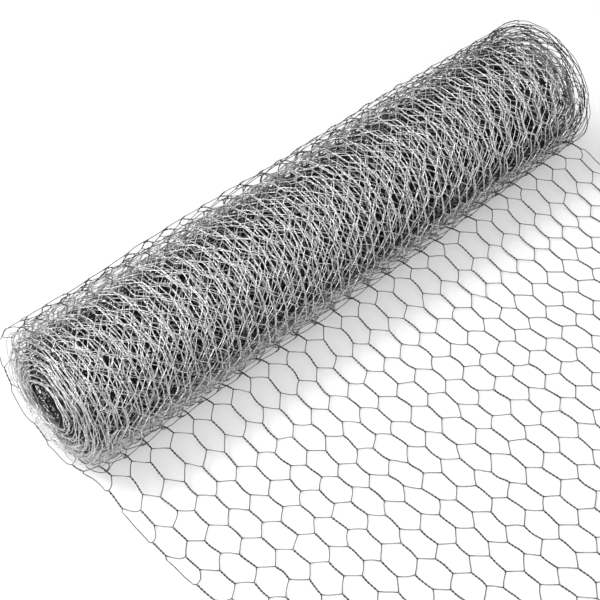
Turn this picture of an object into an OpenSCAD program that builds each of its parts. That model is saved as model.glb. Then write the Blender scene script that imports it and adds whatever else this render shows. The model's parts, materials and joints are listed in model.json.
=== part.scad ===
// A roll of galvanized hexagonal wire netting, lying on a level floor with a length of it unrolled in front.
// X runs along the roll, -Y is the way the netting unrolls, Z is up.
// The origin is under the middle of the whole object, at floor level.

/* [Netting] */
// Distance between two neighbouring twisted sides of one row
mesh_w = 12.7; // [10:0.1:14]
// Length of netting from one row of twisted sides to the next
row_pitch = 15.9; // [14:0.1:20]
// Length of a twisted side
twist_len = 10.6; // [8:0.1:11.5]
// Diameter of the galvanized wire
wire_d = 0.5; // [0.4:0.05:0.7]
// Width of the netting, counted in half meshes
half_meshes = 55; // [31:2:71]

/* [Roll] */
// Diameter of the open bore through the roll
bore_d = 25; // [20:1:40]
// Number of turns in the roll
turns = 30; // [20:1:40]
// Distance from one turn to the next
turn_pitch = 0.85; // [0.8:0.01:1.2]
// How much narrower the netting is in the roll, where it was wound taut, than where it lies free
taut_loss = 9.75; // [0:0.25:15]
// How far the innermost turn stands out past the outermost one at the near end
core_reach = 5; // [0:0.5:10]
// How far the turns between them wander endways
turn_wander = 1.2; // [0:0.1:2]
// Depth to which the gap between two turns is open on the roll's ends
turn_gap_depth = 3; // [1:0.5:6]

/* [Unrolled length] */
// Angle up the roll's front, from its lowest line, where the netting leaves it
peel_angle = 33; // [28:1:38]
// Bending radius of the netting over the crest in front of the roll
crest_r = 24; // [18:1:32]
// Bending radius of the netting where it comes down to the floor
landing_r = 120; // [90:5:150]
// Length of netting between the line where it leaves the roll and the first whole row
first_row = 4; // [3:0.1:4.5]
// Rows over the crest, beside the roll
crest_rows = 1; // [1:1:2]
// Rows that come down to the floor
landing_rows = 3; // [3:1:5]
// Rows in the nearer flat stretch
inner_rows = 6; // [2:1:7]
// Rows in the farther flat stretch, up to the cut end
outer_rows = 5; // [2:1:7]
// Clearance between the roll's surface and the netting that leaves it
lay_gap = 0.1; // [0.05:0.05:0.3]

/* [Hidden] */
$fn = 96;

// Meshes: two strands make a twisted side, and one strand makes each slanting leg
half_mesh = mesh_w / 2;
net_w = half_meshes * half_mesh + wire_d;
edge_x = net_w / 2;
twist_d = 2 * wire_d;
leg_rise = row_pitch - twist_len;
leg_slope = leg_rise / half_mesh;
leg_half_height = wire_d / 2 * norm([half_mesh, leg_rise]) / half_mesh;

// Roll: it rests on the floor
bore_r = bore_d / 2;
roll_r = bore_r + turns * turn_pitch;
wound_w = net_w - taut_loss;
wander_waves = 2;
near_end = -1;
far_end = 1;

// Side view of the unrolled netting, as [distance in front of the roll's axis, height] of its middle surface
seat_r = roll_r + lay_gap + twist_d / 2;
peel = [seat_r * sin(peel_angle), roll_r - seat_r * cos(peel_angle)];
drop_angle = acos((crest_r * cos(peel_angle) + landing_r + twist_d / 2 - peel.y) / (crest_r + landing_r));
crest_centre = peel + crest_r * [sin(peel_angle), -cos(peel_angle)];
landing_centre = crest_centre + (crest_r + landing_r) * [sin(drop_angle), cos(drop_angle)];
crest_len = crest_r * (peel_angle + drop_angle) * PI / 180;
landing_len = landing_r * drop_angle * PI / 180;
bend_step = 5;

// Rows: the netting is divided between the nodes at the middle of a row of twisted sides
landing_start_row = crest_rows + 1;
inner_start_row = landing_start_row + landing_rows;
outer_start_row = inner_start_row + inner_rows;
cut_row = outer_start_row + outer_rows;

// The whole object is centred over the origin
cut_distance = floor_distance(row_middle(cut_row));
axis_y = (cut_distance - roll_r) / 2;

// Length of netting from the peel line to the start, middle and end of a row's twisted sides
function row_start(row) = first_row + (row - 1) * row_pitch;
function row_middle(row) = row_start(row) + twist_len / 2;
function row_end(row) = row_start(row) + twist_len;

// Slope of the netting at a length from the peel line
function crest_slope(length) = peel_angle - length / crest_r * 180 / PI;
function landing_slope(length) = (length - crest_len - landing_len) / landing_r * 180 / PI;

// Distance in front of the roll's axis of the point at a length from the peel line
function floor_distance(length) =
    length <= 0 ? peel.x + length * cos(peel_angle) :
    length <= crest_len ? crest_centre.x - crest_r * sin(crest_slope(length)) :
    length <= crest_len + landing_len ? landing_centre.x + landing_r * sin(landing_slope(length)) :
    landing_centre.x + length - crest_len - landing_len;

// Place of a column of vertices across the netting, and of a point of the netting seen from above
function column_x(column) = (column - half_meshes / 2) * half_mesh;
function plan(x, length) = [x, axis_y - floor_distance(length)];

// Endways place of a turn: the innermost reaches out at the near end, and those between wander
function turn_shift(turn) =
    -core_reach * (1 - turn / (turns - 1)) + turn_wander * sin(turn * wander_waves * 360 / (turns - 1));

// One end of the roll's half section, as [radius, distance along the axis]: a flat rim for each turn's edge wire
// and an open gap between turns
function turn_rims(end) = [
    for (turn = [0 : turns - 1])
        let (inside = bore_r + turn * turn_pitch)
        let (rim = end * wound_w / 2 + turn_shift(turn))
        let (gap_floor = rim - end * turn_gap_depth)
        each turn == turns - 1 ?
            [[inside, rim], [roll_r, rim]] :
            [
                [inside, rim],
                [inside + wire_d, rim],
                [inside + wire_d, gap_floor],
                [inside + turn_pitch, gap_floor]
            ]
];

// The wound part of the netting
module roll() {
    near_rims = turn_rims(near_end);
    far_rims = turn_rims(far_end);
    last = len(far_rims) - 1;
    color("silver")
        translate([0, axis_y, roll_r])
            rotate([0, 90, 0])
                rotate_extrude()
                    polygon(concat(near_rims, [for (i = [last : -1 : 0]) far_rims[i]]));
}

// The open middle of one mesh, seen from above; a mesh on an edge of the netting is cut off by the edge wire
module mesh_hole(column, row) {
    middle = column_x(column);
    left = max(column_x(column - 1) + twist_d / 2, wire_d - edge_x);
    right = min(column_x(column + 1) - twist_d / 2, edge_x - wire_d);
    across = column == 0 || column == half_meshes ? [left, right] : [left, middle, right];
    near = [for (x = across) row_end(row - 1) + leg_half_height + abs(x - middle) * leg_slope];
    far = [for (x = across) row_start(row + 1) - leg_half_height - abs(x - middle) * leg_slope];
    last = len(across) - 1;
    polygon(concat(
        [for (i = [0 : last]) plan(across[i], near[i])],
        [for (i = [last : -1 : 0]) plan(across[i], far[i])]
    ));
}

// Netting seen from above, between two lengths from the peel line, with the meshes of the given rows
module netting_plan(from, to, first, last) {
    difference() {
        translate(plan(-edge_x, to))
            square([net_w, floor_distance(to) - floor_distance(from)]);
        for (row = [first : last])
            for (column = [0 : half_meshes])
                if ((column + row) % 2 == 1)
                    mesh_hole(column, row);
    }
}

// A flat stretch of netting on the floor, from the middle of one row to the middle of another
module flat_stretch(first, last) {
    linear_extrude(twist_d)
        netting_plan(row_middle(first), row_middle(last), first, last);
}

// One face of the lifted netting's side view, at a distance from its middle surface
function crest_edge(side) = [
    for (i = [0 : ceil((peel_angle + drop_angle) / bend_step)])
        let (slope = max(peel_angle - i * bend_step, -drop_angle))
        crest_centre + (crest_r + side) * [-sin(slope), cos(slope)]
];
function landing_edge(side) = [
    for (i = [1 : ceil(drop_angle / bend_step)])
        let (slope = min(i * bend_step - drop_angle, 0))
        landing_centre + (landing_r - side) * [sin(slope), -cos(slope)]
];
function lifted_edge(side) = concat(
    crest_edge(side),
    landing_edge(side),
    [[floor_distance(row_middle(inner_start_row)), twist_d / 2 + side]]
);

// Side view of the netting that rises from the roll and comes down to the floor, turned to run along the roll
module lifted_band() {
    top = lifted_edge(twist_d / 2);
    bottom = lifted_edge(-twist_d / 2);
    outline = concat(top, [for (i = [len(bottom) - 1 : -1 : 0]) bottom[i]]);
    translate([-edge_x, axis_y, 0])
        rotate([90, 0, 90])
            linear_extrude(net_w)
                polygon([for (p = outline) [-p.x, p.y]]);
}

// A lifted stretch of netting between two lengths from the peel line, with the meshes of the given rows
module lifted_stretch(from, to, first, last) {
    intersection() {
        lifted_band();
        linear_extrude(2 * roll_r)
            netting_plan(from, to, first, last);
    }
}

// The stretch that leaves the roll and bends over the crest; it starts with the cut-through legs at the roll
module crest_netting() {
    color("silver")
        lifted_stretch(-twist_d, row_middle(landing_start_row), 0, landing_start_row);
}

// The stretch that comes down to the floor
module landing_netting() {
    color("silver")
        lifted_stretch(
            row_middle(landing_start_row), row_middle(inner_start_row), landing_start_row, inner_start_row
        );
}

// The nearer flat stretch
module flat_netting_inner() {
    color("silver")
        flat_stretch(inner_start_row, outer_start_row);
}

// The farther flat stretch, whose twisted sides are cut through at the end of the netting
module flat_netting_outer() {
    color("silver")
        flat_stretch(outer_start_row, cut_row);
}

roll();
crest_netting();
landing_netting();
flat_netting_inner();
flat_netting_outer();
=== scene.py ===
# %% [markdown]
# # A roll of hexagonal wire netting
#
# Chicken wire is woven from many thin galvanized wires that all run along the length of the netting. Each
# wire twists with its left neighbour, crosses over, twists with its right neighbour, and so on. The open
# shapes between them are the hexagons that we see. A length of 5 m is wound into a roll, and its outer end
# is pulled off and lies on the floor. This lesson weaves the netting from those wires with Geometry Nodes,
# winds it into a spiral, gives it a zinc finish, and sets the light and the camera.

# %% Load the frame
import json
import math

import bpy
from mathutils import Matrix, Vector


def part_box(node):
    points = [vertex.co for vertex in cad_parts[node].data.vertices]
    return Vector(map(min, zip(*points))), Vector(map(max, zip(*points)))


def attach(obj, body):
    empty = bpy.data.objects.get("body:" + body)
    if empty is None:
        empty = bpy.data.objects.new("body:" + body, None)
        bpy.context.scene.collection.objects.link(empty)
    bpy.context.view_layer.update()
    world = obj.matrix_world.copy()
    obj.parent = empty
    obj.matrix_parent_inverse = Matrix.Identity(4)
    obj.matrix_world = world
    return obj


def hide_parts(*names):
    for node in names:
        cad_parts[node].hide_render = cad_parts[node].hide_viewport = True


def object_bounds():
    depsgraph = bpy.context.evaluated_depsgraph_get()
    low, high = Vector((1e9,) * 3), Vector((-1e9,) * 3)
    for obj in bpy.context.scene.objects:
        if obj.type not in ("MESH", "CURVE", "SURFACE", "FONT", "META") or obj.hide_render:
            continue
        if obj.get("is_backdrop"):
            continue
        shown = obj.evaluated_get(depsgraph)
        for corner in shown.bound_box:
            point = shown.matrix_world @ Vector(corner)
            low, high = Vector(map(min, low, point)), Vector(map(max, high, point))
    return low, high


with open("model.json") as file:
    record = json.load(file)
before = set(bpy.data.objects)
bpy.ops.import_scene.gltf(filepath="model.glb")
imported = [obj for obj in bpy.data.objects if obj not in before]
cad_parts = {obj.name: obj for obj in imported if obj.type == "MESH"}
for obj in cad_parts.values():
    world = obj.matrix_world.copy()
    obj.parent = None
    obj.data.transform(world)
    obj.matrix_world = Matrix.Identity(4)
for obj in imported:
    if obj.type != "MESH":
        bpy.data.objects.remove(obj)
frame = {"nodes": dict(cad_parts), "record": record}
cad_box = [list(corner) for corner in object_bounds()]
print("nodes:", ", ".join(sorted(frame["nodes"])))

# %% [markdown]
# ## Sizes
#
# The frame gives the roll's axis, its bore and its outside, and the width of the netting. The sizes of the
# mesh itself are written here once, in metres, and the rest follows from them. Seen from the side, the
# unrolled netting leaves the roll's front at the peel line, bends over a low crest, comes down in a wide
# arc and lies on the floor. How far the arcs turn follows from the heights of their centres.

# %% Sizes of the roll, from the frame
MM_PER_M = 1000
bore = next(mount for mount in frame["record"]["mounts"] if mount["name"] == "bore")
CORE_SHIFT, AXIS_Y, AXIS_Z = bore["pos_m"]
BORE_RADIUS = bore["dims"]["r_mm"] / MM_PER_M
WOUND_WIDTH = bore["dims"]["length_mm"] / MM_PER_M
ROLL_RADIUS = AXIS_Z
net_low, net_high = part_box("flat_netting_outer")
NET_WIDTH = net_high.x - net_low.x
print(f"roll radius {ROLL_RADIUS:.4f} m, bore radius {BORE_RADIUS:.4f} m, netting {NET_WIDTH:.4f} m wide")

# %% Sizes of the mesh
HALF_MESHES = 55
WIRE = 0.0005
MESH_WIDTH = 2 * (NET_WIDTH - WIRE) / HALF_MESHES
ROW_PITCH = 0.0159
TWIST_LENGTH = 0.0106
FIRST_ROW = 0.004
print(f"mesh {MESH_WIDTH:.5f} m wide, with twisted sides {TWIST_LENGTH} m long")

# %% Side view of the spiral and of the unrolled length
TURN_PITCH = 0.00085
LAY_GAP = 0.0001
SEAT_RADIUS = ROLL_RADIUS + LAY_GAP + WIRE
CORE_RADIUS = BORE_RADIUS + WIRE
PEEL_ANGLE = math.radians(33)
CREST_RADIUS = 0.024
LANDING_RADIUS = 0.120
peel_height = ROLL_RADIUS - SEAT_RADIUS * math.cos(PEEL_ANGLE)
crest_centre_height = peel_height - CREST_RADIUS * math.cos(PEEL_ANGLE)
landing_centre_height = LANDING_RADIUS + WIRE
DROP_ANGLE = math.acos((landing_centre_height - crest_centre_height) / (CREST_RADIUS + LANDING_RADIUS))
CREST_LENGTH = CREST_RADIUS * (PEEL_ANGLE + DROP_ANGLE)
LANDING_LENGTH = LANDING_RADIUS * DROP_ANGLE
WOUND_TURNS = (SEAT_RADIUS - CORE_RADIUS) / TURN_PITCH
wound_length = math.pi * (SEAT_RADIUS**2 - CORE_RADIUS**2) / TURN_PITCH
WOUND_ROWS = round(wound_length / ROW_PITCH)
print(f"{WOUND_ROWS} rows in {WOUND_TURNS:.1f} turns, {wound_length:.2f} m of netting")

# %% [markdown]
# ## Formulas as nodes
#
# A rule such as "twist, then lean over to the next column" needs many Math nodes, and laying them out one
# by one hides the rule. This small class lets the script write ordinary arithmetic instead. Each operation
# on it adds the Math node that does it.


# %% A number that flows through a node tree
class Flow:
    """A value in a node tree. Arithmetic on it adds Math nodes to that tree."""

    def __init__(self, socket):
        self.socket = socket
        self.tree = socket.id_data

    def math(self, operation, *others):
        node = self.tree.nodes.new("ShaderNodeMath")
        node.operation = operation
        for entry, value in zip(node.inputs, (self, *others)):
            plug(value, entry)
        return Flow(node.outputs[0])

    def __add__(self, other):
        return self.math("ADD", other)

    __radd__ = __add__

    def __sub__(self, other):
        return self.math("SUBTRACT", other)

    def __rsub__(self, other):
        return self.math("MULTIPLY_ADD", -1, other)

    def __mul__(self, other):
        return self.math("MULTIPLY", other)

    def __truediv__(self, other):
        return self.math("DIVIDE", other)

    def __rtruediv__(self, other):
        return self.math("POWER", -1) * other

    def __pow__(self, other):
        return self.math("POWER", other)

    def least(self, other):
        return self.math("MINIMUM", other)

    def most(self, other):
        return self.math("MAXIMUM", other)

    def between(self, low, high):
        return self.most(low).least(high)

    def ramp(self, start, end):
        """Goes from 0 at the start to 1 at the end, and stays at 0 before it and at 1 after it."""
        return ((self - start) / (end - start)).between(0, 1)

    def both_ways(self):
        """Spreads a value from 0 to 1 over -1 to 1."""
        return (self - 0.5) * 2

    def floor(self):
        return self.math("FLOOR")

    def size(self):
        return self.math("ABSOLUTE")

    def remainder(self, other):
        return self.math("FLOORED_MODULO", other)

    def sin(self):
        return self.math("SINE")

    def cos(self):
        return self.math("COSINE")

    def root(self):
        return self.math("SQRT")

    def exp(self):
        return self.math("EXPONENT")


print("operations on a flow:", ", ".join(name for name in vars(Flow) if not name.startswith("_")))


# %% Two helpers that place nodes
def plug(value, entry):
    """Feeds an input socket from a flow or from another node's socket, or sets it to a plain value."""
    if isinstance(value, Flow):
        value = value.socket
    if isinstance(value, bpy.types.NodeSocket):
        value.id_data.links.new(value, entry)
    else:
        entry.default_value = value


def add_node(tree, kind, settings=None, **entries):
    """Adds a node, sets its properties, and feeds its inputs by name with spaces written as underscores."""
    node = tree.nodes.new(kind)
    for name, value in (settings or {}).items():
        setattr(node, name, value)
    for name, value in entries.items():
        plug(value, node.inputs[name.replace("_", " ")])
    return node


print("helpers:", plug.__name__, add_node.__name__)

# %% [markdown]
# ## Weaving
#
# On the real netting every wire keeps to its own lane between two columns of twisted sides. On one row it
# is a strand of the twist on its left, on the next row of the twist on its right, and a slanting leg joins
# the two. One wire with the right number of points, copied once for each lane, is therefore all that the
# tree needs. A point finds its row and its place in the row from its number along the wire. The first and
# the last lane are the edge wires. They would swing out past the netting on every other row, so they are
# held back to a slight bow. The legs next to them aren't pulled straight by a neighbour, so they sag. In a
# twist the strands press on each other twice in each turn, where they lie side by side.

# %% Sizes of the weave
WEAVE_SIZES = {
    "Lanes": HALF_MESHES,
    "First Step": 0,
    "Last Step": 1,
    "Twist Steps": 18,
    "Leg Steps": 4,
    "Twist Turns": 3,
    "Wire Sides": 5,
    "Wire Diameter": WIRE,
    "Mesh Width": MESH_WIDTH,
    "Row Pitch": ROW_PITCH,
    "Twist Length": TWIST_LENGTH,
    "First Row": FIRST_ROW,
    "Edge Bow": 0.001,
    "Edge Sag": 0.0013,
}
print(f"{HALF_MESHES + 2} wires side by side, {len(WEAVE_SIZES)} sizes of the weave")


# %% Where a point of a wire lies on the flat netting
def weave(entry, lane, step):
    """Returns a point's place across the netting, along it and off it, and how much a twist nips it."""
    steps = entry["Twist Steps"] + entry["Leg Steps"]
    row = (step / steps).floor()
    step_in_row = step - row * steps
    in_twist = (step_in_row / entry["Twist Steps"]).least(1)
    in_leg = (step_in_row - entry["Twist Steps"]).most(0) / entry["Leg Steps"]

    leg_rise = entry["Row Pitch"] - entry["Twist Length"]
    length = entry["First Row"] + (row - 1) * entry["Row Pitch"]
    length = length + in_twist * entry["Twist Length"] + in_leg * leg_rise
    lanes_to_edge = lane.size().least((entry["Lanes"] - 1 - lane).size())
    length = length + (in_leg * math.pi).sin() * (1 - lanes_to_edge).most(0) * entry["Edge Sag"]

    half_wire = entry["Wire Diameter"] / 2
    half_mesh = entry["Mesh Width"] / 2
    turned_left = (lane + row).remainder(2)
    column = lane + turned_left
    side = 1 - turned_left * 2
    angle = in_twist * entry["Twist Turns"] * (2 * math.pi)
    reach = half_wire * angle.cos() + in_leg * (half_mesh - entry["Wire Diameter"])
    across = (column - entry["Lanes"] / 2) * half_mesh + side * reach

    edge = entry["Lanes"] / 2 * half_mesh + half_wire + entry["Edge Bow"]
    paired = column.ramp(-1, 0) * column.ramp(entry["Lanes"] + 1, entry["Lanes"])
    height = side * half_wire * angle.sin() * paired
    nipped = (1 - in_leg.math("SIGN")) * ((angle * 2).cos() + 1) / 2
    return across.between(edge * -1, edge), length, height, nipped


print(f"a leg leans {MESH_WIDTH / 2:.5f} m over while it rises {ROW_PITCH - TWIST_LENGTH:.5f} m")

# %% [markdown]
# ## Unevenness
#
# Thin netting is never quite regular: whole stretches bulge, and single meshes are pulled out of shape.
# Moving every point by its own random amount would tear the twisted pairs apart. A smooth noise over the
# flat netting moves both strands of a pair together, so the netting stays woven. It is used with a long
# wave and a short kink. In the roll no turn lies exactly on the one below it. There a third noise crumples
# the meshes a little, and a very long one slides whole turns. Two even zigzags, one across and one along,
# spread the turns over the width and the length of a mesh, so that the wires of many turns show side by
# side. The edge wires hold the edges of the netting straight, less firmly in the roll.

# %% Sizes of the unevenness
PULL_SIZES = {
    "Seed": 7.4,
    "Wave Length": 0.060,
    "Wave Reach": 0.0020,
    "Wave Lift": 0.0016,
    "Kink Length": 0.011,
    "Kink Reach": 0.0017,
    "Kink Lift": 0.0008,
    "Crumple Length": 0.0135,
    "Crumple Reach": 0.0006,
    "Slide Length": 0.170,
    "Slide Reach": 0.0080,
    "Slide Stretch": 0.0080,
    "Slide After": 0.15,
    "Swing Length": 0.331,
    "Sway Length": 0.387,
    "Edge Zone": 0.02,
    "Edge Freedom": 0.35,
    "Rolled Freedom": 0.30,
}
print(f"{len(PULL_SIZES)} sizes of the unevenness, with the seed {PULL_SIZES['Seed']}")


# %% How far a point is pulled out of place
def pull(entry, across, length, name):
    """Returns three smooth random numbers from -1 to 1, for shifts across the netting, along and off it."""
    tree = across.tree
    place = add_node(tree, "ShaderNodeCombineXYZ", X=across, Y=length)
    noise = add_node(
        tree, "ShaderNodeTexNoise", {"noise_dimensions": "4D"},
        Vector=place.outputs["Vector"], W=entry["Seed"], Scale=1 / entry[f"{name} Length"], Detail=0.0,
    )
    parts = add_node(tree, "ShaderNodeSeparateXYZ", Vector=noise.outputs["Color"])
    return [Flow(part).both_ways() for part in parts.outputs]


def zigzag(length, reversal):
    """Goes evenly from -1 to 1 and back, and turns round after each length of the given reversal."""
    return (length / reversal).math("PINGPONG", 1.0).both_ways()


print("lengths of the pulls:", {name: size for name, size in PULL_SIZES.items() if name.endswith("Length")})


# %% The uneven netting
def uneven(entry, across, length):
    """Returns a point's new place across the netting, its new length along it and its lift off it."""
    wave = pull(entry, across, length, "Wave")
    kink = pull(entry, across, length, "Kink")
    crumple = pull(entry, across, length, "Crumple")
    slide = pull(entry, across, length, "Slide")
    swing = zigzag(length, entry["Swing Length"]) * entry["Mesh Width"] / 4
    sway = zigzag(length, entry["Sway Length"]) * entry["Row Pitch"] / 2
    wound = length.ramp(0, entry["Slide After"] * -1)

    def shift(axis):
        in_roll = crumple[axis] * entry["Crumple Reach"] + slide[axis] * entry["Slide Reach"]
        return wave[axis] * entry["Wave Reach"] + kink[axis] * entry["Kink Reach"] + in_roll * wound

    from_edge = entry["Lanes"] / 4 * entry["Mesh Width"] - across.size()
    least_free = wound * entry["Rolled Freedom"] + entry["Edge Freedom"]
    free = (from_edge / entry["Edge Zone"]).between(least_free, 1)
    sideways = (shift(0) + swing * wound) * free
    endways = shift(1) + (slide[1] * entry["Slide Stretch"] + sway) * wound
    lift = wave[2] * entry["Wave Lift"] + kink[2] * entry["Kink Lift"]
    return across + sideways, length + endways, lift


print(f"the turns swing over {MESH_WIDTH / 2:.5f} m across and sway over {ROW_PITCH:.5f} m along")

# %% [markdown]
# ## Winding
#
# The wound part is a spiral with its turns one turn pitch apart. The side of the wound ring has the area
# of its length times the pitch, which gives the radius after any length. In front of the peel line the
# netting follows the two arcs and then the floor. Each stretch adds its own part of the way and stops at
# its end, so no switch is needed.
#
# A hand-wound roll isn't a perfect spiral. Its last turns are loose: they stand off most at the top, hang
# down in front, and are pressed flat under the roll. They are tighter at the far end. Deeper in, the turns
# lie in bunches, and one gap between them is open at the front. The wound netting is also taut, so it is a
# little narrower, and its inner turns have slid out at the near end.

# %% Sizes of the winding
WINDING_SIZES = {
    "Looseness": 0.0049,
    "Loose Turns": 1.2,
    "Hanging": 0.0050,
    "Pressed Turns": 4.0,
    "Tight From": 0.190,
    "Tight Zone": 0.12,
    "Least Looseness": 0.12,
    "Bunching": 0.0009,
    "Bunches": 0.9,
    "Parted Turn": 16.4,
    "Parting": 0.0026,
    "Taut After": 0.280,
    "Turn Wander": 0.0012,
}
print(f"the loose turns stand off by up to {WINDING_SIZES['Looseness']} m")


# %% Along the spiral, the crest, the arc and the floor
def follow(length):
    """Returns the spiral's radius, turns and angle, the angles on both arcs, and the length on the floor."""
    radius = (SEAT_RADIUS**2 - (length * -1).most(0) * (TURN_PITCH / math.pi)).root()
    turned = (SEAT_RADIUS - radius) / TURN_PITCH
    around = PEEL_ANGLE - turned * (2 * math.pi)
    over_crest = PEEL_ANGLE - length.between(0, CREST_LENGTH) / CREST_RADIUS
    down_landing = (length - CREST_LENGTH).between(0, LANDING_LENGTH) / LANDING_RADIUS - DROP_ANGLE
    on_floor = (length - CREST_LENGTH - LANDING_LENGTH).most(0)
    return radius, turned, around, over_crest, down_landing, on_floor


print(f"{CREST_LENGTH:.4f} m of netting over the crest and {LANDING_LENGTH:.4f} m in the wide arc")

# %% How far the turns stand off the spiral
# Sides are angles up the roll's front from its lowest line, and the parting is measured in turns
HANGING_SIDE, PARTED_SIDE, LOWEST_SIDE = math.radians(70), math.radians(110), 0.0
NARROW, WIDE = 8, 4
PARTED_OUTSIDE, PARTED_INSIDE, PARTED_STEP = 10, 8, 0.02
HELD_TURNS = 3


def bulge(around, side, narrowness):
    """Returns 1 at an angle up the roll's front from its lowest line, and falls to 0 on both sides of it."""
    return (around - side).cos().most(0) ** narrowness


def slacken(entry, across, turned, around):
    """Returns how far the loose last turns stand off."""
    slack = (turned / entry["Loose Turns"] * -1).exp()
    near = ((entry["Tight From"] - across) / entry["Tight Zone"]).between(entry["Least Looseness"], 1)
    loose = entry["Looseness"] * near * slack * (1 - around.cos()) / 2
    hanging = entry["Hanging"] * slack * bulge(around, HANGING_SIDE, NARROW)
    weight = (turned / entry["Pressed Turns"] * -1).exp()
    pressed = weight * bulge(around, LOWEST_SIDE, NARROW) * (2 * WIRE + LAY_GAP)
    return loose + hanging - pressed


def part_and_bunch(entry, turned, around):
    """Returns how far the turns deeper in the roll are moved by the open gap and by the bunches."""
    depth = turned - entry["Parted Turn"]
    outside = depth.ramp(-PARTED_OUTSIDE, 0) * depth.ramp(0, -PARTED_STEP)
    inside = depth.ramp(PARTED_INSIDE, 0) * depth.ramp(0, PARTED_STEP)
    parted = (outside - inside) * bulge(around, PARTED_SIDE, WIDE) * entry["Parting"] / 2
    settings = {"noise_dimensions": "1D"}
    noise = add_node(turned.tree, "ShaderNodeTexNoise", settings, W=turned * entry["Bunches"], Detail=0.0)
    held = turned.ramp(0, HELD_TURNS).least(turned.ramp(WOUND_TURNS, WOUND_TURNS - HELD_TURNS))
    return parted + Flow(noise.outputs["Fac"]).both_ways() * entry["Bunching"] * held


print(f"the open gap is at turn {WINDING_SIZES['Parted Turn']} of {WOUND_TURNS:.0f}")

# %% From the flat netting to the roll and the floor
TOP_SIDE, FOOT_SIDE = math.radians(235), math.radians(45)
WANDER_WAVES = 2


def wind(entry, across, length, height, pulled):
    """Returns a point's x, y and z, the turns over it, and how near it is to the roll's top or foot."""
    radius, turned, around, over_crest, down_landing, on_floor = follow(length)
    wound = (length * -1).most(0)
    begun = wound.ramp(0, CREST_RADIUS)

    # Off the netting is outwards on the roll and downwards on the floor, where it can only be lifted
    off = height + part_and_bunch(entry, turned, around) + slacken(entry, across, turned, around) * begun
    off = off + pulled.least(wound * (1 - around.cos()))
    slope = around + over_crest + down_landing + (DROP_ANGLE - PEEL_ANGLE)

    ahead = radius * around.sin() + on_floor + off * slope.sin()
    ahead = ahead + (math.sin(PEEL_ANGLE) - over_crest.sin()) * CREST_RADIUS
    ahead = ahead + (math.sin(DROP_ANGLE) + down_landing.sin()) * LANDING_RADIUS
    up = AXIS_Z - radius * around.cos() - off * slope.cos()
    up = up + (over_crest.cos() - math.cos(PEEL_ANGLE)) * CREST_RADIUS
    up = up + (math.cos(DROP_ANGLE) - down_landing.cos()) * LANDING_RADIUS

    tightened = wound.ramp(0, entry["Taut After"]) * (1 - WOUND_WIDTH / NET_WIDTH)
    wander = (turned * (WANDER_WAVES * 2 * math.pi / WOUND_TURNS)).sin() * entry["Turn Wander"]
    slid = turned * (CORE_SHIFT / WOUND_TURNS) + wander
    outline = (around - TOP_SIDE).cos().most((around - FOOT_SIDE).cos()) * begun
    return across * (1 - tightened) + slid, AXIS_Y - ahead, up, turned, outline


print(f"the netting is {NET_WIDTH:.4f} m wide on the floor and {WOUND_WIDTH:.4f} m wide in the roll")

# %% [markdown]
# ## Painted shade
#
# The zinc of such netting is bright when it is new and turns dark unevenly. The dark on this roll, though,
# is painted shade in the wires' colour. It is darkest deep between the turns, and there the painted shade
# begins nearer to the surface towards the far end and towards the roll's top and foot. The outermost loops
# are painted dark at the top and the foot too. So are the far ends of the turns, the near end of the last
# turn, and the places in a twist where the strands press on each other. At the near end the very edges of
# the inner turns stand out and stay bright. One number for each point of a wire holds all this, from 0 for
# bright zinc to 1 for dark. A texture in the material couldn't know how deep in the roll a wire lies.

# %% Sizes of the painted shade
PAINTED_SHADE_SIZES = {
    "Twist Tarnish": 1.0,
    "Loop Tarnish": 0.0,
}
SHADE_TURN, SHADE_SLOPE, SHADE_DEPTH = 6.5, 16, 8
OUTLINE_SHADE = 6.0
# Each pair says where a mask starts and where it is full
BESIDE_OUTLINE, ON_OUTLINE = (0.45, 0.80), (0.75, 0.90)
BRIGHT_EDGE = 0.0003, 0.0015
LOOP_TURNS, NEAR_EDGE_TURNS = (2.6, 1.6), (1.5, 0.5)
NEAR_EDGE, FAR_EDGE = (0.0100, 0.0), (0.0224, 0.0084)
FAR_EDGE_TURNS, FAR_EDGE_FADE, FAR_EDGE_LEAST = 9, 4, 0.6
print(f"in the middle of the roll the zinc darkens from turn {SHADE_TURN} to turn {SHADE_TURN + SHADE_DEPTH}")


# %% How much shade is painted on the zinc
def paint_shade(entry, across, under, outline, nipped):
    """Returns the painted shade of a point at a place across, under some turns, near the outline and in a
    nip.
    """
    from_near_edge = across + NET_WIDTH / 2
    from_far_edge = NET_WIDTH / 2 - across
    shade_from = SHADE_TURN - across * SHADE_SLOPE - outline.ramp(*BESIDE_OUTLINE) * OUTLINE_SHADE
    inside = from_near_edge.least(from_far_edge).ramp(*BRIGHT_EDGE)
    # painted shade deep between the turns, where little light reaches
    deep_painted_shade = ((under - shade_from) / SHADE_DEPTH).between(0, 1) * inside
    # painted shade on the outermost loops at the roll's top and foot
    outline_loop_shade = outline.ramp(*ON_OUTLINE) * under.ramp(*LOOP_TURNS)
    # painted shade on the near end of the last turn
    at_near_edge = under.ramp(*NEAR_EDGE_TURNS) * from_near_edge.ramp(*NEAR_EDGE)
    outer_turns = ((FAR_EDGE_TURNS - under) / FAR_EDGE_FADE).between(FAR_EDGE_LEAST, 1)
    # painted shade on the far ends of the turns
    at_far_edge = from_far_edge.ramp(*FAR_EDGE) * outer_turns
    outline_and_end_shade = outline_loop_shade.most(at_near_edge).most(at_far_edge) * entry["Loop Tarnish"]
    # painted shade in the twists, where the strands press on each other
    return deep_painted_shade.most(outline_and_end_shade).most(nipped * entry["Twist Tarnish"])


print(f"the far ends of the turns are dark over {FAR_EDGE[1]} m, and the dark fades out at {FAR_EDGE[0]} m")

# %% [markdown]
# ## The tree
#
# The tree strings these steps together: a line is cut into points, copied once for each lane, and every
# point is moved to its place by the formulas. Only then does a small profile turn the lines into wires.
# Bending thick wires would need far more work than bending lines. Every size is a named input, so the same
# tree makes the fine unrolled netting and the coarser turns inside the roll.

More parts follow.
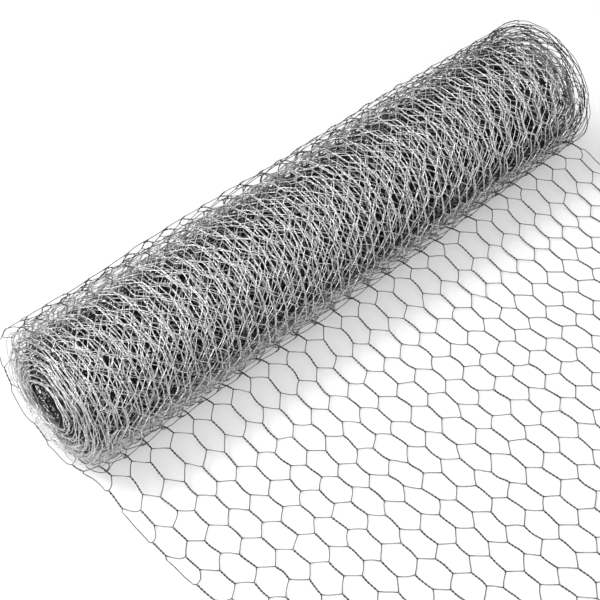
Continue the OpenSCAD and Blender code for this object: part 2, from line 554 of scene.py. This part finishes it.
# %% Named inputs of the tree
netting_tree = bpy.data.node_groups.new("Woven and wound netting", "GeometryNodeTree")
TREE_SIZES = {**WEAVE_SIZES, **PULL_SIZES, **WINDING_SIZES, **PAINTED_SHADE_SIZES}
socket_ids = {}
for name, value in TREE_SIZES.items():
    kind = "NodeSocketInt" if isinstance(value, int) else "NodeSocketFloat"
    socket = netting_tree.interface.new_socket(name, in_out="INPUT", socket_type=kind)
    socket.default_value = value
    socket_ids[name] = socket.identifier
finish_socket = netting_tree.interface.new_socket("Finish", in_out="INPUT", socket_type="NodeSocketMaterial")
socket_ids["Finish"] = finish_socket.identifier
netting_tree.interface.new_socket("Netting", in_out="OUTPUT", socket_type="NodeSocketGeometry")
print(len(socket_ids), "named inputs")

# %% One line of points for each lane
group_input = netting_tree.nodes.new("NodeGroupInput")
entry = {name: Flow(group_input.outputs[name]) for name in TREE_SIZES}
line = add_node(netting_tree, "GeometryNodeCurvePrimitiveLine", End=(0, 1, 0))
points = add_node(
    netting_tree, "GeometryNodeResampleCurve",
    Curve=line.outputs["Curve"], Count=entry["Last Step"] - entry["First Step"] + 1,
)
lanes = add_node(
    netting_tree, "GeometryNodeDuplicateElements", {"domain": "SPLINE"},
    Geometry=points.outputs["Curve"], Amount=entry["Lanes"] + 2,
)
lane = Flow(lanes.outputs["Duplicate Index"]) - 1
step = Flow(add_node(netting_tree, "GeometryNodeSplineParameter").outputs["Index"]) + entry["First Step"]
print(len(netting_tree.nodes), "nodes for the lines")

# %% Weave, pull and wind the lines, and paint shade on them
across, length, height, nipped = weave(entry, lane, step)
across, length, lift = uneven(entry, across, length)
x, y, z, under, outline = wind(entry, across, length, height, lift)
# stores the painted shade on every point of the wires
painted_shade_stored = add_node(
    netting_tree, "GeometryNodeStoreNamedAttribute", {"data_type": "FLOAT", "domain": "POINT"},
    Geometry=lanes.outputs["Geometry"], Name="tarnish",
    Value=paint_shade(entry, across, under, outline, nipped),
)
place = add_node(netting_tree, "ShaderNodeCombineXYZ", X=x, Y=y, Z=z)
placed = add_node(
    netting_tree, "GeometryNodeSetPosition",
    Geometry=painted_shade_stored.outputs["Geometry"], Position=place.outputs["Vector"],
)
print(len(netting_tree.nodes), "nodes with the formulas")

# %% Turn the lines into wires
profile = add_node(
    netting_tree, "GeometryNodeCurvePrimitiveCircle",
    Resolution=entry["Wire Sides"], Radius=entry["Wire Diameter"] / 2,
)
wires = add_node(
    netting_tree, "GeometryNodeCurveToMesh",
    Curve=placed.outputs["Geometry"], Profile_Curve=profile.outputs["Curve"], Fill_Caps=True,
)
smooth = add_node(netting_tree, "GeometryNodeSetShadeSmooth", Geometry=wires.outputs["Mesh"])
real = add_node(netting_tree, "GeometryNodeRealizeInstances", Geometry=smooth.outputs["Geometry"])
finished = add_node(
    netting_tree, "GeometryNodeSetMaterial",
    Geometry=real.outputs["Geometry"], Material=group_input.outputs["Finish"],
)
add_node(netting_tree, "NodeGroupOutput", Netting=finished.outputs["Geometry"])
print(len(netting_tree.nodes), "nodes in the tree")

# %% [markdown]
# ## Zinc
#
# Galvanized wire is steel with a thin coat of zinc. The coat is bright where it is new and has dull grey
# patches where weathering has begun. A plain grey metal would look like a drawn line. A shared node
# group mixes the bright and the dull colour in small patches, darkens them by the painted shade that the
# tree stored on the wires, and makes the dull ones rougher. On the white floor the unrolled wires look darker
# than those of the roll, so they get a darker copy from the same group, with painted shade in its colours.

# %% The patches of bright and dull zinc
zinc = bpy.data.node_groups.new("Zinc coat", "ShaderNodeTree")
for name in ("Bright", "Dull", "Dark"):
    zinc.interface.new_socket(name, in_out="INPUT", socket_type="NodeSocketColor")
zinc.interface.new_socket("Patch Size", in_out="INPUT", socket_type="NodeSocketFloat")
zinc_input = zinc.nodes.new("NodeGroupInput")
position = add_node(zinc, "ShaderNodeTexCoord").outputs["Object"]
patch_scale = 1 / Flow(zinc_input.outputs["Patch Size"])
patches = add_node(zinc, "ShaderNodeTexNoise", Vector=position, Scale=patch_scale, Detail=3.0, Roughness=0.6)
dullness = add_node(
    zinc, "ShaderNodeMapRange",
    Value=patches.outputs["Fac"], From_Min=0.42, From_Max=0.64, To_Min=0.0, To_Max=1.0,
).outputs["Result"]
GRAINS_PER_PATCH = 40
grain_scale = patch_scale * GRAINS_PER_PATCH
grain = add_node(zinc, "ShaderNodeTexNoise", Vector=position, Scale=grain_scale, Detail=1.0).outputs["Fac"]
print(len(zinc.nodes), "nodes for the patches and the grain")


# %% The colour and roughness of the coat
def mix_colors(factor, first, second):
    """Mixes two colours in the zinc coat."""
    mix = add_node(zinc, "ShaderNodeMix", {"data_type": "RGBA"})
    factor_entry, first_entry, second_entry = mix.inputs[0], mix.inputs[6], mix.inputs[7]
    plug(factor, factor_entry)
    plug(first, first_entry)
    plug(second, second_entry)
    return mix.outputs[2]


BRIGHT_ROUGHNESS, DULL_ROUGHNESS = 0.28, 0.53
zinc_outputs = {"Color": "NodeSocketColor", "Roughness": "NodeSocketFloat", "Grain": "NodeSocketFloat"}
for name, kind in zinc_outputs.items():
    zinc.interface.new_socket(name, in_out="OUTPUT", socket_type=kind)
# reads the painted shade that the tree stored on the wires
tarnish = add_node(zinc, "ShaderNodeAttribute", {"attribute_name": "tarnish"}).outputs["Fac"]
patched = mix_colors(dullness, zinc_input.outputs["Bright"], zinc_input.outputs["Dull"])
patched_and_shaded = mix_colors(tarnish, patched, zinc_input.outputs["Dark"])
roughness = Flow(dullness) * (DULL_ROUGHNESS - BRIGHT_ROUGHNESS) + BRIGHT_ROUGHNESS
add_node(zinc, "NodeGroupOutput", Color=patched_and_shaded, Roughness=roughness, Grain=grain)
print(len(zinc.nodes), "nodes in the zinc coat")


# %% Two wire finishes with the zinc coat, the second with painted shade
def zinc_wire(name, bright, dull, dark, patch_size):
    """Returns a metal whose zinc goes from a bright to a dull grey, and to a dark one where shade is painted.
    """
    material = bpy.data.materials.new(name)
    material.use_nodes = True
    tree = material.node_tree
    shader = tree.nodes["Principled BSDF"]
    shader.inputs["Metallic"].default_value = 1.0
    coat = add_node(tree, "ShaderNodeGroup", {"node_tree": zinc})
    coat.inputs["Bright"].default_value = (*bright, 1)
    coat.inputs["Dull"].default_value = (*dull, 1)
    coat.inputs["Dark"].default_value = (*dark, 1)
    coat.inputs["Patch Size"].default_value = patch_size
    bump = add_node(tree, "ShaderNodeBump", Height=coat.outputs["Grain"], Strength=0.3, Distance=0.00005)
    plug(coat.outputs["Color"], shader.inputs["Base Color"])
    plug(coat.outputs["Roughness"], shader.inputs["Roughness"])
    plug(bump.outputs["Normal"], shader.inputs["Normal"])
    return material


bright_zinc = zinc_wire(
    "bright_zinc_wire",
    bright=(0.96, 0.96, 0.96), dull=(0.46, 0.46, 0.46), dark=(0.04, 0.04, 0.04), patch_size=0.0012,
)
# painted shade: the same coat in darker colours for the unrolled wires on the floor
floor_shaded_zinc = zinc_wire(
    "dull_zinc_wire",
    bright=(0.20, 0.20, 0.21), dull=(0.12, 0.12, 0.13), dark=(0.01, 0.01, 0.01), patch_size=0.008,
)
print("finishes:", bright_zinc.name, floor_shaded_zinc.name)

# %% [markdown]
# ## The netting
#
# One call of the tree makes a stretch of netting between two rows. The unrolled stretches are divided
# where the frame divides them, at the middle of a row of twisted sides, and each stands for its own node.
# They are seen closely on a white floor, so they get fine steps and rounder wires. The wound turns hide
# each other, so they get three-sided wires and coarser steps, and the inner ones the coarsest. Their wires
# are a little thinner outside, where they should look fine, and thicker inside, where they should hide
# what is behind them.


# %% The unrolled stretches
def make_netting(name, node, first_step, last_step, finish, **sizes):
    """Makes one piece of netting with the tree, as a plain mesh that stands for a node of the frame."""
    piece = bpy.data.objects.new(name, bpy.data.meshes.new(name))
    bpy.context.collection.objects.link(piece)
    modifier = piece.modifiers.new("Weave and wind", "NODES")
    modifier.node_group = netting_tree
    values = {"First_Step": first_step, "Last_Step": last_step, "Finish": finish, **sizes}
    for key, value in values.items():
        modifier[socket_ids[key.replace("_", " ")]] = value
    evaluated = piece.evaluated_get(bpy.context.evaluated_depsgraph_get())
    mesh = bpy.data.meshes.new_from_object(evaluated)
    piece.modifiers.remove(modifier)
    piece.data = mesh
    mesh.name = name
    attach(piece, "root")
    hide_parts(node)
    mesh.calc_loop_triangles()
    print(f"{name}: {len(mesh.loop_triangles)} triangles")


FINE_TWIST, FINE_LEG = WEAVE_SIZES["Twist Steps"], WEAVE_SIZES["Leg Steps"]
LAST_ROWS = {"crest_netting": 2, "landing_netting": 5, "flat_netting_inner": 11, "flat_netting_outer": 16}
start = FINE_TWIST
for node, last_row in LAST_ROWS.items():
    end = last_row * (FINE_TWIST + FINE_LEG) + FINE_TWIST // 2
    make_netting(f"woven_{node}", node, start, end, floor_shaded_zinc)
    start = end

# %% The outer turns
OUTERMOST_ROWS, OUTER_ROWS = 55, 110
OUTER_TWIST, OUTER_LEG, OUTER_WIRE = 8, 2, 0.00042
turn_sizes = dict(Wire_Sides=3, Twist_Tarnish=0.1, Loop_Tarnish=1.0)
outer_steps = dict(Twist_Steps=OUTER_TWIST, Leg_Steps=OUTER_LEG, Twist_Turns=2)
outer_sizes = dict(Wire_Diameter=OUTER_WIRE, **outer_steps, **turn_sizes)
outermost_start = -OUTERMOST_ROWS * (OUTER_TWIST + OUTER_LEG)
outer_start = -OUTER_ROWS * (OUTER_TWIST + OUTER_LEG)
make_netting("turns_outermost", "roll", outermost_start, OUTER_TWIST, bright_zinc, **outer_sizes)
make_netting("turns_outer", "roll", outer_start, outermost_start, bright_zinc, **outer_sizes)

# %% The inner turns
INNER_ROWS = 208
INNER_TWIST, INNER_LEG, INNER_WIRE, INNERMOST_WIRE = 4, 1, 0.00052, 0.00062
inner_steps = dict(Twist_Steps=INNER_TWIST, Leg_Steps=INNER_LEG, Twist_Turns=1)
inner_sizes = dict(Wire_Diameter=INNER_WIRE, **inner_steps, **turn_sizes)
innermost_sizes = dict(Wire_Diameter=INNERMOST_WIRE, **inner_steps, **turn_sizes)
inner_end = -OUTER_ROWS * (INNER_TWIST + INNER_LEG)
inner_start = -INNER_ROWS * (INNER_TWIST + INNER_LEG)
core_start = -WOUND_ROWS * (INNER_TWIST + INNER_LEG)
make_netting("turns_inner", "roll", inner_start, inner_end, bright_zinc, **inner_sizes)
make_netting("turns_innermost", "roll", core_start, inner_start, bright_zinc, **innermost_sizes)

# %% [markdown]
# ## Floor and light
#
# The photograph has a white floor with one soft shadow in front of the roll. The floor is a plain white
# sheet that takes the shadow near the netting and fades to plain white around it. A white world lights
# everything evenly. The stronger of two large soft lamps, above and behind the roll, gives the wires their
# bright upper sides and throws the shadow forward. The weaker one lights the roll's front. What the camera
# sees of the world is plain white, and so is what the bright metal reflects.

# %% A white floor finish
FLOOR_GREY, SEEN_GREY, FLOOR_GLOW = 0.85, 0.77, 0.22
FADE_START, FADE_END = 0.20, 0.45


def seen_rays(tree):
    """Returns 1 for the rays that show a surface or the world, and 0 for those that light the object."""
    rays = add_node(tree, "ShaderNodeLightPath").outputs
    return Flow(rays["Is Camera Ray"]).most(rays["Is Glossy Ray"]).most(rays["Is Transmission Ray"])


def white_floor():
    """Returns a white material that takes a shadow near the netting and fades to plain white around it."""
    material = bpy.data.materials.new("white_floor")
    material.use_nodes = True
    tree = material.node_tree
    tree.nodes.clear()
    matt = add_node(tree, "ShaderNodeBsdfDiffuse", Color=(FLOOR_GREY, FLOOR_GREY, FLOOR_GREY, 1))
    shadow = add_node(tree, "ShaderNodeBsdfDiffuse", Color=(SEEN_GREY, SEEN_GREY, SEEN_GREY, 1))
    glow = add_node(tree, "ShaderNodeEmission", Strength=FLOOR_GLOW)
    near_floor = add_node(tree, "ShaderNodeAddShader")
    plug(shadow.outputs["BSDF"], near_floor.inputs[0])
    plug(glow.outputs["Emission"], near_floor.inputs[1])
    far_floor = add_node(tree, "ShaderNodeEmission", Strength=1.0)
    place = add_node(tree, "ShaderNodeTexCoord").outputs["Object"]
    distance = add_node(tree, "ShaderNodeVectorMath", {"operation": "LENGTH"}, Vector=place).outputs["Value"]
    fade = add_node(tree, "ShaderNodeMapRange", Value=distance, From_Min=FADE_START, From_Max=FADE_END)
    seen_floor = add_node(tree, "ShaderNodeMixShader", Fac=fade.outputs["Result"])
    plug(near_floor.outputs["Shader"], seen_floor.inputs[1])
    plug(far_floor.outputs["Emission"], seen_floor.inputs[2])
    surface = add_node(tree, "ShaderNodeMixShader", Fac=seen_rays(tree))
    plug(matt.outputs["BSDF"], surface.inputs[1])
    plug(seen_floor.outputs["Shader"], surface.inputs[2])
    add_node(tree, "ShaderNodeOutputMaterial", Surface=surface.outputs["Shader"])
    return material


floor_finish = white_floor()
print(len(floor_finish.node_tree.nodes), "nodes in the floor's finish")

# %% A white floor
FLOOR_REACH, FLOOR_HEIGHT = 3.0, -0.0002
signs = ((-1, -1), (1, -1), (1, 1), (-1, 1))
corners = [(x_sign * FLOOR_REACH, y_sign * FLOOR_REACH, FLOOR_HEIGHT) for x_sign, y_sign in signs]
floor_mesh = bpy.data.meshes.new("floor")
floor_mesh.from_pydata(corners, [], [(0, 1, 2, 3)])
floor_mesh.materials.append(floor_finish)
floor = bpy.data.objects.new("floor", floor_mesh)
bpy.context.collection.objects.link(floor)
floor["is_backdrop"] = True
print(f"floor {2 * FLOOR_REACH} m wide, plain white from {FADE_END} m away")

# %% A white world
AMBIENT = 0.30
world = bpy.data.worlds.new("white_studio")
bpy.context.scene.world = world
world.use_nodes = True
background = world.node_tree.nodes["Background"]
background.inputs["Color"].default_value = (1, 1, 1, 1)
plug(seen_rays(world.node_tree) * (1 - AMBIENT) + AMBIENT, background.inputs["Strength"])
print(f"the world lights the netting with a strength of {AMBIENT} and is seen as plain white")


# %% Two large soft lamps
def soft_lamp(name, location, size, watts):
    """Places a round lamp that shines on the middle of the netting."""
    lamp = bpy.data.lights.new(name, "AREA")
    lamp.shape = "DISK"
    lamp.size = size
    lamp.energy = watts
    holder = bpy.data.objects.new(name, lamp)
    holder.location = location
    holder.rotation_euler = (-holder.location).to_track_quat("-Z", "Y").to_euler()
    bpy.context.collection.objects.link(holder)
    print(f"{name}: {watts} W, {size} m wide, {holder.location.length:.2f} m away")


soft_lamp("lamp_behind", location=(-1.05, 0.95, 2.1), size=1.2, watts=38)
soft_lamp("lamp_in_front", location=(-0.8, -0.8, 1.25), size=1.4, watts=21)

# %% [markdown]
# ## Camera
#
# The camera was found by matching vertices of the unrolled netting and the roll's outline with the
# photograph. It looks down from the roll's open end, and sees the far end smaller than the near one.

# %% The camera
LOOK_DOWN, LOOK_RIGHT = math.radians(46.79), math.radians(43.2)
lens = bpy.data.cameras.new("camera")
lens.sensor_width = 36.0
lens.lens = 93.49
camera = bpy.data.objects.new("camera", lens)
camera.location = (-0.4068, -0.3035, 0.6031)
camera.rotation_euler = (math.pi / 2 - LOOK_DOWN, 0, -LOOK_RIGHT)
bpy.context.collection.objects.link(camera)
bpy.context.scene.camera = camera
bpy.context.scene.view_settings.view_transform = "Standard"
print(f"lens {lens.lens:.2f} mm, {camera.location.length:.2f} m from the middle of the netting")

# %% Compare the sizes
visual_box = [list(corner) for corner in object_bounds()]
(cad_low, cad_high), (low, high) = cad_box, visual_box
print("metres past the low corner:", [f"{cad - visual:.4f}" for cad, visual in zip(cad_low, low)])
print("metres past the high corner:", [f"{visual - cad:.4f}" for cad, visual in zip(cad_high, high)])
